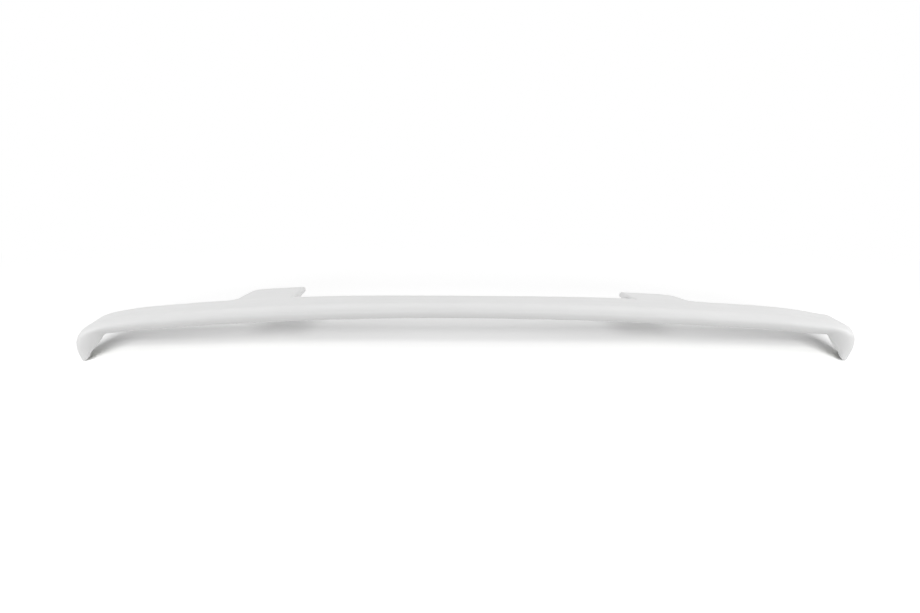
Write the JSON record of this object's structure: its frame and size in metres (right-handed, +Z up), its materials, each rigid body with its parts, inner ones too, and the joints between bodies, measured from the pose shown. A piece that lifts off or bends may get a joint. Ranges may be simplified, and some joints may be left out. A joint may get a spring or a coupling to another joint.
{
  "type": "car rear spoiler",
  "caption": "One-piece moulded rear spoiler: a slim bowed wing with a rounded trailing lip, curved-down ends and two flat fixing tabs.",
  "frame": {"origin": "centre of the box, at the floor on which both feet stand", "axes": "+X across the car along the spoiler, -Y towards its trailing lip, +Y towards the car's front and the tabs, +Z up"},
  "size_m": [1.4, 0.2448, 0.1118],
  "materials": {
    "gelcoat": "white gelcoat, semi-gloss, as it leaves the mould and ready for paint"
  },
  "bodies": {
    "root": {"spoiler_shell": "gelcoat"}
  },
  "joints": []
}
